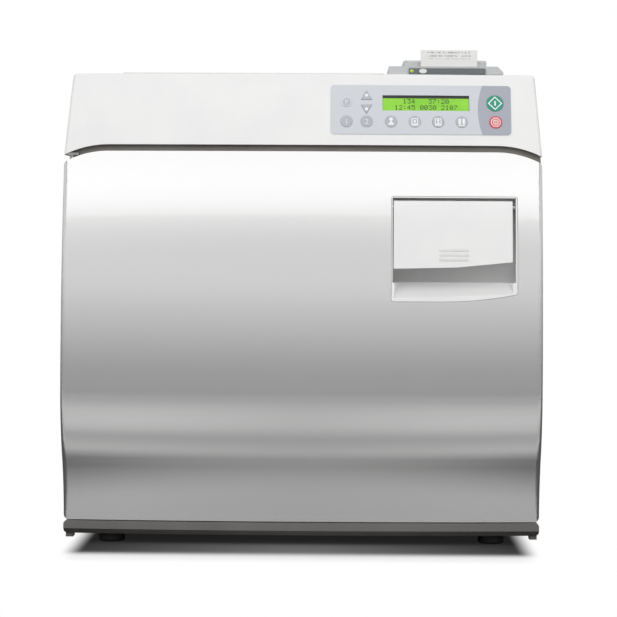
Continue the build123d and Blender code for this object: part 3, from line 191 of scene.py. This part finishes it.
def brushed_metal(name, low, high, roughness, stretch, metallic=1.0):
    """Sheet metal drawn past an abrasive belt: streaks 0.4 mm wide that run along one axis."""
    material, shader = new_surface(name, Metallic=metallic)
    streak = grain(material, 0.4, stretch, detail=4.0)
    set_colour(material, shader, blend_colours(material, streak, low, high))
    vary(material, shader, "Roughness", streak, roughness - 0.06, roughness + 0.1)
    raise_grain(material, shader, streak, 0.35, 0.01)
    return material


def spangled_zinc():
    """Hot-dip galvanised sheet: grey crystals about 9 mm across that differ in shine."""
    material, shader = new_surface("galvanised_steel", Metallic=1.0)
    where = place_in_mm(material)
    crystal = add_node(material, "TexVoronoi", Vector=where, Scale=1 / 9.0).outputs["Color"]
    value = add_node(material, "RGBToBW", Color=crystal).outputs[0]
    set_colour(material, shader, blend_colours(material, value, "9A9DA0", "B9BCBE"))
    vary(material, shader, "Roughness", value, 0.35, 0.55)
    return material


def rubber(name, colour, high, roughness):
    """Moulded rubber: matt, with a faint bloom and a soft surface grain."""
    material, shader = new_surface(name, IOR=1.52)
    set_colour(material, shader, blend_colours(material, grain(material, 12.0), colour, high))
    fine = grain(material, 0.8)
    vary(material, shader, "Roughness", fine, roughness - 0.05, roughness + 0.1)
    raise_grain(material, shader, fine, 0.6, 0.03)
    return material


# The panel's dark right end, in millimetres: its width, and how far its arc bows over half its height
DARK_END = 31.5
ARC_BOW = 4.5
ARC_HALF_HEIGHT = 24.0


def printed_film(light, dark):
    """Polyester film printed on its back: even satin skin, light field and a darker right end."""
    material, shader = new_surface("printed_polyester_film", IOR=1.6)
    place = add_node(material, "TexCoord").outputs["Object"]
    axes = add_node(material, "SeparateXYZ", Vector=place)
    # The darker end starts at an arc that bows to the left
    low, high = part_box("control_overlay")
    arc_x = high.x - DARK_END * MM
    middle_z = (high.z + low.z) / 2
    bend = ARC_BOW * MM / (ARC_HALF_HEIGHT * MM) ** 2
    from_middle = add_node(material, "Math", {"operation": "SUBTRACT"}, _0=axes.outputs[2], _1=middle_z)
    squared = add_node(material, "Math", {"operation": "MULTIPLY"}, _0=from_middle.outputs[0],
                       _1=from_middle.outputs[0])
    edge = add_node(material, "Math", {"operation": "MULTIPLY_ADD"}, _0=squared.outputs[0],
                    _1=bend, _2=arc_x)
    inside = add_node(material, "Math", {"operation": "GREATER_THAN"}, _0=axes.outputs[0], _1=edge.outputs[0])
    mixed = add_node(material, "MixRGB", _0=inside.outputs[0], _1=linear(light), _2=linear(dark))
    set_colour(material, shader, mixed.outputs[0])
    fine = grain(material, 0.5, detail=2.0)
    vary(material, shader, "Roughness", fine, 0.34, 0.42)
    raise_grain(material, shader, fine, 0.4, 0.008)
    return material


BAND_HEIGHT = 2.4


def display_glass():
    """Back-lit liquid crystal display: yellow-green field behind clear glass, black band on top."""
    material, shader = new_surface("display_glass", Roughness=0.12, IOR=1.5, Emission_Strength=0.11)
    low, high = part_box("lcd_module")
    place = add_node(material, "TexCoord").outputs["Object"]
    height = add_node(material, "SeparateXYZ", Vector=place).outputs[2]
    band = add_node(material, "Math", {"operation": "GREATER_THAN"}, _0=height, _1=high.z - BAND_HEIGHT * MM)
    glow = blend_colours(material, grain(material, 25.0), "7FCB1E", "93D936")
    field = add_node(material, "MixRGB", _0=band.outputs[0], _1=glow, _2=linear("0A0E06"))
    set_colour(material, shader, field.outputs[0])
    material.node_tree.links.new(field.outputs[0], shader.inputs["Emission Color"])
    return material


ROW_PITCH = 3.2
PRINTED_HEIGHT = 8.5


def thermal_paper():
    """Thermal till paper: smooth white with rows of faint grey print on the front."""
    material, shader = new_surface("thermal_paper", Roughness=0.55)
    low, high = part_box("paper_strip")
    place = add_node(material, "TexCoord").outputs["Object"]
    axes = add_node(material, "SeparateXYZ", Vector=place)
    row_pitch = ROW_PITCH * MM
    row = add_node(material, "Math", {"operation": "PINGPONG"}, _0=axes.outputs[2], _1=row_pitch / 2)
    in_row = add_node(material, "Math", {"operation": "LESS_THAN"}, _0=row.outputs[0], _1=row_pitch * 0.22)
    stroke = add_node(material, "Math", {"operation": "GREATER_THAN"},
                      _0=grain(material, 1.1, (1, 1, 3), detail=1.0), _1=0.5)
    inset = add_node(material, "Math", {"operation": "COMPARE"}, _0=axes.outputs[0],
                     _1=(low.x + high.x) / 2, _2=(high.x - low.x) * 0.38)
    printed = add_node(material, "Math", {"operation": "MULTIPLY"}, _0=in_row.outputs[0],
                       _1=stroke.outputs[0])
    near_top = add_node(material, "Math", {"operation": "GREATER_THAN"}, _0=axes.outputs[2],
                        _1=high.z - PRINTED_HEIGHT * MM)
    inside = add_node(material, "Math", {"operation": "MULTIPLY"}, _0=near_top.outputs[0],
                      _1=inset.outputs[0])
    shown = add_node(material, "Math", {"operation": "MULTIPLY"}, _0=printed.outputs[0], _1=inside.outputs[0])
    colour = add_node(material, "MixRGB", _0=shown.outputs[0], _1=linear("F1F1EF"), _2=linear("B9BBBE"))
    set_colour(material, shader, colour.outputs[0])
    raise_grain(material, shader, grain(material, 0.6), 0.3, 0.01)
    return material


def speckled_plastic():
    """ABS moulded with dark flecks about 0.5 mm across: light grey with a fine speckle."""
    material, shader = new_surface("speckled_abs", IOR=1.52)
    fleck = add_node(material, "Math", {"operation": "GREATER_THAN"}, _0=grain(material, 0.8, detail=2.0),
                     _1=0.62)
    colour = add_node(material, "MixRGB", _0=fleck.outputs[0], _1=linear("CDCFD0"), _2=linear("A5A8AB"))
    set_colour(material, shader, colour.outputs[0])
    fine = grain(material, 0.9)
    vary(material, shader, "Roughness", fine, 0.5, 0.62)
    raise_grain(material, shader, fine, 0.6, 0.03)
    return material


def fibre_blanket():
    """Needled glass fibre: off-white matted strands with soft hollows."""
    material, shader = new_surface("needled_glass_fibre", Roughness=0.95, Sheen_Weight=0.3)
    strand = grain(material, 1.2, (6, 1, 1), detail=5.0)
    set_colour(material, shader, blend_colours(material, strand, "C3BEAF", "E2DED2"))
    raise_grain(material, shader, strand, 0.8, 0.6)
    return material


STEEL_X = (30, 1, 1)
STEEL_Z = (1, 1, 30)
FINISHES = {
    "door_silver": lacquered_silver(),
    "fascia_white": moulded_plastic("white_moulded_abs", "EFEFEF", "F3F3F2", 0.36, coat=0.25),
    "handle_white": moulded_plastic("white_gloss_abs", "F0F0F0", "F4F4F3", 0.3, coat=0.4),
    # Sill trim: dark grey that stands in for the dark floor reflected in its silver paint and the shade under
    # the door, a painted reflection and painted shade
    "sill_grey": moulded_plastic("painted_reflection_grey_abs", "73716E", "7A7875", 0.42),
    # Groove strip under the fascia: warm grey that stands in for the shade in that gap, a painted shadow
    "groove_grey": moulded_plastic("painted_shadow_grey_strip", "7F7B75", "8A8680", 0.6),
    "case_white": powder_coat("white_powder_coat", "E4E4E1", "EAEAE7"),
    "galvanised_steel": spangled_zinc(),
    "frame_steel": brushed_metal("brushed_stainless", "A9A9A7", "BDBDBB", 0.32, STEEL_X),
    "chamber_steel": brushed_metal("satin_stainless", "B4B4B2", "C6C6C4", 0.26, (1, 30, 1)),
    "heater_steel": brushed_metal("heat_tinted_steel", "4A4540", "6B5E50", 0.4, (1, 1, 1)),
    "zinc_steel": brushed_metal("zinc_plated_steel", "A8A9A6", "C2C3BF", 0.3, (1, 1, 1)),
    "tray_aluminium": brushed_metal("anodised_aluminium", "BDBFC1", "CDCFD0", 0.38, STEEL_X),
    "valve_brass": brushed_metal("machined_brass", "B08A45", "C9A35A", 0.28, (1, 1, 1)),
    "copper_tube": brushed_metal("drawn_copper", "B06A48", "C98262", 0.26, (1, 1, 1)),
    "relief_red": moulded_plastic("red_moulded_nylon", "9C1410", "AA1C16", 0.4),
    "black_rubber": rubber("black_moulded_rubber", "141414", "1D1D1C", 0.72),
    "seal_silicone": rubber("white_silicone", "CFCDC6", "DAD8D2", 0.45),
    "black_plastic": moulded_plastic("black_moulded_nylon", "17171A", "1E1E21", 0.5),
    "breaker_white": moulded_plastic("ivory_moulded_nylon", "D9D7CF", "E0DED6", 0.45),
    "overlay_film": printed_film("D2D5DB", "A9ABB8"),
    "circuit_board": moulded_plastic("green_solder_resist", "0F5A2C", "146B36", 0.35, coat=0.3),
    "lcd_green": display_glass(),
    "key_grey": moulded_plastic("grey_printed_film", "B6B9C0", "BCBFC6", 0.4),
    "key_green": moulded_plastic("green_printed_film", "0E8F72", "139A7C", 0.38),
    "key_red": moulded_plastic("red_printed_film", "DC4A50", "E15258", 0.38),
    "tank_plastic": moulded_plastic("natural_polypropylene", "D8D8D0", "E0E0D9", 0.4),
    "lagging_fibre": fibre_blanket(),
    "printer_grey": speckled_plastic(),
    "bezel_grey": moulded_plastic("dark_grey_gloss_abs", "6A7073", "72787B", 0.3, coat=0.3),
    "button_white": moulded_plastic("white_button_abs", "EEEEEC", "F2F2F0", 0.32),
    "paper_white": thermal_paper(),
}


def dress_cad_nodes():
    """Give every CAD node the finish of its slot in the record."""
    for part in frame["record"]["subparts"]:
        shell = nodes[part["node"]]
        shell.data.materials.clear()
        shell.data.materials.append(FINISHES[part["material_slot"]])


dress_cad_nodes()


# ------------------------------------------------------------------ modelling helpers
def clear_selection():
    if bpy.context.object and bpy.context.object.mode != "OBJECT":
        bpy.ops.object.mode_set(mode="OBJECT")
    bpy.ops.object.select_all(action="DESELECT")


def settle(piece, body, finish, name):
    """Apply the piece's place to its mesh, name it, and hang it on its body."""
    clear_selection()
    piece.select_set(True)
    bpy.context.view_layer.objects.active = piece
    bpy.ops.object.transform_apply(location=True, rotation=True, scale=True)
    piece.name = name
    piece.data.materials.clear()
    piece.data.materials.append(finish)
    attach(piece, body)
    return piece


def face_frame(node_name, outward):
    """Return the frame on a node's outermost face: origin in its middle, Z along outward."""
    points = [Vector(v.co) for v in nodes[node_name].data.vertices]
    reach = max(p.dot(outward) for p in points)
    low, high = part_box(node_name)
    middle = (low + high) / 2
    origin = middle + outward * (reach - middle.dot(outward))
    across = Vector((0, 0, 1)).cross(outward).normalized()
    up = outward.cross(across)
    turn = Matrix((across, up, outward)).transposed().to_4x4()
    return Matrix.Translation(origin) @ turn


def outward_of(joint_name):
    return -Vector(joints[joint_name]["axis"]).normalized()


# ------------------------------------------------------------------ symbols on the keys
INK_HEIGHT = 0.06
INK_LIFT = 0.02
TEXT_SIZE_PER_HEIGHT = 1.38
white_ink = moulded_plastic("white_screen_ink", "E4E6EA", "E8EAEE", 0.45)
bright_ink = moulded_plastic("bright_screen_ink", "F3F6F5", "F6F8F7", 0.45)
dark_ink = moulded_plastic("dark_crystal_ink", "061503", "081A04", 0.3)


def ink_shape(corners, radius, centre=(0, 0), turn=0.0, hollow=0.0, stretch=(1, 1)):
    """Draw one flat printed shape in millimetres, with a hole of the given share of its size."""
    clear_selection()
    fill = "NOTHING" if hollow else "NGON"
    bpy.ops.mesh.primitive_circle_add(vertices=corners, radius=radius, fill_type=fill)
    shape = bpy.context.object
    bpy.ops.object.mode_set(mode="EDIT")
    bpy.ops.mesh.select_all(action="SELECT")
    if hollow:
        bpy.ops.mesh.extrude_edges_move()
        bpy.ops.transform.resize(value=(hollow, hollow, 1), center_override=(0, 0, 0))
        bpy.ops.mesh.select_all(action="SELECT")
    bpy.ops.mesh.normals_make_consistent(inside=False)
    bpy.ops.object.mode_set(mode="OBJECT")
    turned = Matrix.Diagonal((stretch[0], stretch[1], 1, 1)) @ Matrix.Rotation(turn, 4, "Z")
    shape.data.transform(Matrix.Translation((centre[0], centre[1], 0)) @ turned)
    return shape


def ink_bar(width, height, centre=(0, 0)):
    """Draw an upright rectangle."""
    return ink_shape(4, math.sqrt(0.5), centre, math.pi / 4, stretch=(width, height))


def print_symbol(key_name, shapes, ink):
    """Join flat shapes into one symbol, give it the ink's thickness, and lay it on its key."""
    outward = outward_of(key_name + "_press")
    clear_selection()
    for shape in shapes:
        shape.select_set(True)
    bpy.context.view_layer.objects.active = shapes[0]
    if len(shapes) > 1:
        bpy.ops.object.join()
    symbol = bpy.context.object
    symbol.data.transform(Matrix.Diagonal((MM, MM, MM, 1)))
    thick = symbol.modifiers.new("ink", "SOLIDIFY")
    thick.thickness = INK_HEIGHT * MM
    thick.offset = 1.0
    bpy.ops.object.modifier_apply(modifier="ink")
    symbol.data.transform(face_frame(key_name, outward) @ Matrix.Translation((0, 0, INK_LIFT * MM)))
    return settle(symbol, key_name, ink, key_name + "_symbol")


def glyph(character, height_mm):
    """Return a flat mesh of one character, centred."""
    clear_selection()
    bpy.ops.object.text_add()
    letter = bpy.context.object
    letter.data.body = character
    letter.data.size = height_mm * TEXT_SIZE_PER_HEIGHT
    letter.data.align_x = "CENTER"
    letter.data.resolution_u = 3
    bpy.ops.object.convert(target="MESH")
    letter = bpy.context.object
    heights = [v.co.y for v in letter.data.vertices]
    letter.data.transform(Matrix.Translation((0, -(max(heights) + min(heights)) / 2, 0)))
    return letter


QUARTER = math.pi / 4
EIGHTH = math.pi / 8
print_symbol("key_program", [glyph("P", 4.6), ink_shape(32, 4.6, hollow=0.86)], white_ink)
print_symbol("key_one", [glyph("1", 5.4)], white_ink)
print_symbol("key_two", [glyph("2", 5.4)], white_ink)
print_symbol("key_up", [ink_shape(24, 1.6)], bright_ink)
print_symbol("key_down", [ink_shape(24, 1.6)], bright_ink)
# Loose instruments, a pouch, a wrapped pack and a tall pack, each over its base line
print_symbol("key_wrapped", [ink_shape(24, 1.7, (0, 2.3)), ink_shape(3, 3.7, (0, -1.8), stretch=(1.0, 0.8))],
             bright_ink)
print_symbol("key_packs", [ink_shape(4, 4.4, (0, 0.3), QUARTER, 0.72), ink_bar(1.8, 2.6, (0, 0.3)),
                           ink_bar(6.6, 1.0, (0, -3.4))], bright_ink)
print_symbol("key_liquids", [ink_shape(4, 4.4, (0, 0.3), QUARTER, 0.72), ink_shape(24, 1.2, (0, 1.2)),
                             ink_shape(3, 1.9, (0, -1.2)), ink_bar(6.6, 1.0, (0, -3.4))], bright_ink)
print_symbol("key_drying", [ink_bar(2.4, 5.6, (-1.9, 0.4)), ink_bar(2.4, 5.6, (1.9, 0.4)),
                            ink_bar(6.6, 1.0, (0, -3.6))], bright_ink)
print_symbol("key_start", [ink_shape(4, 6.9, hollow=0.8), ink_bar(1.5, 4.6)], bright_ink)
print_symbol("key_stop", [ink_shape(8, 4.8, turn=EIGHTH, hollow=0.84), ink_shape(32, 2.6, hollow=0.68),
                          ink_shape(4, 2.0, stretch=(0.25, 0.9))], bright_ink)


# The film rings round the keys, in millimetres
KEY_GAP = 0.24
KEY_CLEARANCE = 0.04
RING_DEPTH = 0.58


def fill_key_gaps():
    """Lay a narrow ring of film round each key, so that the panel looks like one membrane."""
    for key_name in [body for body in frame["bodies"] if body.startswith("key_")]:
        outward = outward_of(key_name + "_press")
        place = face_frame(key_name, outward)
        flat = place.inverted()
        reach = max((flat @ Vector(v.co)).xy.length for v in nodes[key_name].data.vertices) / MM
        corners = 3 if key_name in ("key_up", "key_down") else 64
        gap = KEY_GAP * (2 if corners == 3 else 1)
        turn = math.pi if key_name == "key_down" else 0.0
        ring = ink_shape(corners, reach + gap, turn=turn, hollow=(reach + KEY_CLEARANCE) / (reach + gap))
        ring.data.transform(Matrix.Diagonal((MM, MM, MM, 1)))
        ring.data.transform(place @ Matrix.Translation((0, 0, -RING_DEPTH * MM)))
        settle(ring, "cabinet", FINISHES["overlay_film"], key_name + "_film_ring")


fill_key_gaps()


# ------------------------------------------------------------------ figures on the display
FIGURE_ROWS = {
    "0": (14, 17, 19, 21, 25, 17, 14), "1": (4, 12, 4, 4, 4, 4, 14), "2": (14, 17, 1, 2, 4, 8, 31),
    "3": (31, 2, 4, 2, 1, 17, 14), "4": (2, 6, 10, 18, 31, 2, 2), "5": (31, 16, 30, 1, 1, 17, 14),
    "7": (31, 1, 2, 4, 8, 8, 8), ":": (0, 4, 4, 0, 4, 4, 0), " ": (0, 0, 0, 0, 0, 0, 0),
}
DOT_PITCH = 0.66
DOT_SIZE = DOT_PITCH * 0.98
FIGURE_PITCH = 4.0
FIGURE_LINES = (("134   37:20", 2.0), ("12:45 0030 2107", -4.2))


def display_figures():
    """Set two rows of dot-matrix figures on the display's glass."""
    glass = nodes["lcd_module"].data
    front = max((f for f in glass.polygons if f.normal.y < -0.5), key=lambda f: f.area)
    outward = Vector(front.normal)
    clear_selection()
    bpy.ops.mesh.primitive_plane_add(size=0.1)
    figures = bpy.context.object
    bpy.ops.object.mode_set(mode="EDIT")
    bpy.ops.mesh.select_all(action="SELECT")
    bpy.ops.mesh.delete(type="VERT")
    for line, height in FIGURE_LINES:
        start = -(len(line) - 1) / 2 * FIGURE_PITCH
        for place, character in enumerate(line):
            for row, bits in enumerate(FIGURE_ROWS[character]):
                for column in range(5):
                    if bits >> (4 - column) & 1:
                        x = start + place * FIGURE_PITCH + (column - 2) * DOT_PITCH
                        y = height + (3 - row) * DOT_PITCH
                        bpy.ops.mesh.primitive_plane_add(size=DOT_SIZE, location=(x, y, 0))
    bpy.ops.object.mode_set(mode="OBJECT")
    figures.data.transform(face_frame("lcd_module", outward) @ Matrix.Diagonal((MM, MM, MM, 1))
                           @ Matrix.Translation((0, 0, 0.05)))
    settle(figures, "cabinet", dark_ink, "display_figures")


display_figures()


# ------------------------------------------------------------------ lamp and covers
lamp_lens = moulded_plastic("yellow_green_lens", "B9D43A", "C6DE4C", 0.25, coat=0.5)


LAMP_RADIUS = 1.5
LAMP_SHAPE = (1.3, 0.5, 1.0)
LAMP_GAP = 7.0


def printer_lamp():
    """Set a small domed lamp in the printer's front strip, left of the feed button."""
    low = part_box("printer_bezel")[0]
    button_low, button_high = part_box("feed_button")
    clear_selection()
    bpy.ops.mesh.primitive_uv_sphere_add(segments=24, ring_count=12, radius=LAMP_RADIUS * MM)
    lamp = bpy.context.object
    lamp.data.transform(Matrix.Diagonal((*LAMP_SHAPE, 1)))
    middle_z = (button_low.z + button_high.z) / 2
    lamp.data.transform(Matrix.Translation((button_low.x - LAMP_GAP * MM, low.y - 0.05 * MM, middle_z)))
    settle(lamp, "cabinet", lamp_lens, "printer_lamp")


printer_lamp()


# ------------------------------------------------------------------ studio
# How light the paper is painted at each distance in front of the machine's middle, in metres: a painted
# shadow close to the machine, then painted bright and dim bands of light
PAINTED_FLOOR_LIGHT = ((0.289, 0.01), (0.315, 0.95), (0.335, 0.8), (0.375, 0.5), (0.43, 0.9), (0.49, 0.98),
                (0.8, 0.75), (1.25, 0.4))
FLOOR_START = 0.25
# Half the machine's footprint, and how far past it the paper with its painted shade fades to white
FOOTPRINT = (0.2, 0.272, 0)
FADE_LENGTH = 0.09
# How bright the room is at each height of view, from level to straight up
ROOM_LEVELS = ((0.0, 0.34), (0.22, 1.15), (0.6, 0.2))


def fill_ramp(ramp, levels):
    """Set a ramp's greys from pairs of position and value."""
    while len(ramp.elements) < len(levels):
        ramp.elements.new(0.5)
    for element, (position, value) in zip(ramp.elements, levels):
        element.position = position
        element.color = (value, value, value, 1)


def backdrop_paper():
    """Matt white paper: a painted shadow under the machine, painted uneven light in front, blown out further
    off.
    """
    paper, shader = new_surface("white_backdrop_paper", Roughness=0.9)
    place = add_node(paper, "TexCoord").outputs["Object"]
    axes = add_node(paper, "SeparateXYZ", Vector=place)
    ahead = add_node(paper, "MapRange", Value=axes.outputs[1], From_Min=-FLOOR_START,
                     From_Max=-FLOOR_START - 1.0)
    # Painted shadow and painted bands of light, by distance in front of the machine
    light = add_node(paper, "ValToRGB", Fac=ahead.outputs[0])
    fill_ramp(light.color_ramp, [(distance - FLOOR_START, value) for distance, value in PAINTED_FLOOR_LIGHT])
    # Near the middle the painted shadow and painted bands are pulled towards a mid grey, so the painted light
    # is softer there
    aside = add_node(paper, "Math", {"operation": "ABSOLUTE"}, _0=axes.outputs[0])
    even = add_node(paper, "MapRange", Value=aside.outputs[0], From_Min=0.02, From_Max=0.2, To_Min=0.3,
                    To_Max=0.0)
    painted_floor_tone = add_node(paper, "MixRGB", _0=even.outputs[0], _1=light.outputs[0], _2=(0.5, 0.5, 0.5, 1))
    set_colour(paper, shader, painted_floor_tone.outputs[0])
    size = add_node(paper, "VectorMath", {"operation": "ABSOLUTE"}, _0=place).outputs[0]
    beyond = add_node(paper, "VectorMath", {"operation": "SUBTRACT"}, _0=size, _1=FOOTPRINT).outputs[0]
    beyond = add_node(paper, "VectorMath", {"operation": "MAXIMUM"}, _0=beyond, _1=(0, 0, 0)).outputs[0]
    beyond = add_node(paper, "VectorMath", {"operation": "MULTIPLY"}, _0=beyond, _1=(4.0, 1.0, 0)).outputs[0]
    away = add_node(paper, "VectorMath", {"operation": "LENGTH"}, _0=beyond).outputs["Value"]
    # The shaded paper keeps a painted glow of 1.2% white, so the painted shadow never goes fully black
    fade = add_node(paper, "MapRange", {"interpolation_type": "SMOOTHSTEP"}, Value=away, From_Min=0.0,
                    From_Max=FADE_LENGTH, To_Min=0.012)
    seen = add_node(paper, "LightPath").outputs["Is Camera Ray"]
    amount = add_node(paper, "Math", {"operation": "MULTIPLY"}, _0=fade.outputs[0], _1=seen)
    white = add_node(paper, "Emission", Color=(1, 1, 1, 1), Strength=1.0)
    mix = add_node(paper, "MixShader", _0=amount.outputs[0], _1=shader.outputs[0], _2=white.outputs[0])
    output = next(made for made in paper.node_tree.nodes if made.type == "OUTPUT_MATERIAL")
    paper.node_tree.links.new(mix.outputs[0], output.inputs["Surface"])
    return paper


def studio():
    """Light the machine with a wide soft box over the camera, on a white floor."""
    scene = bpy.context.scene
    scene.view_settings.view_transform = "Standard"
    clear_selection()
    bpy.ops.mesh.primitive_plane_add(size=9.0)
    floor = bpy.context.object
    floor.name = "floor"
    floor.data.materials.append(backdrop_paper())

    def soft_box(name, place, target, size, power):
        light = bpy.data.lights.new(name, "AREA")
        light.shape = "RECTANGLE"
        light.size, light.size_y = size
        light.energy = power
        lamp = bpy.data.objects.new(name, light)
        scene.collection.objects.link(lamp)
        lamp.location = place
        lamp.rotation_euler = (Vector(target) - Vector(place)).to_track_quat("-Z", "Y").to_euler()

    soft_box("front_soft_box", (0, -1.5, 1.75), (0, -0.25, 0.3), (3.6, 1.9), 28)
    soft_box("top_soft_box", (0, 0.2, 2.3), (0, 0.1, 0.2), (2.6, 1.8), 10)

    world = bpy.data.worlds.new("studio")
    scene.world = world
    world.use_nodes = True
    world.node_tree.nodes.clear()
    direction = add_node(world, "TexCoord").outputs["Generated"]
    height = add_node(world, "SeparateXYZ", Vector=direction).outputs[2]
    dome = add_node(world, "ValToRGB", Fac=height)
    fill_ramp(dome.color_ramp, ROOM_LEVELS)
    room = add_node(world, "Background", Color=dome.outputs[0], Strength=1.0)
    backdrop = add_node(world, "Background", Color=(1, 1, 1, 1), Strength=1.0)
    seen = add_node(world, "LightPath").outputs["Is Camera Ray"]
    mix = add_node(world, "MixShader", _0=seen, _1=room.outputs[0], _2=backdrop.outputs[0])
    add_node(world, "OutputWorld", Surface=mix.outputs[0])


studio()
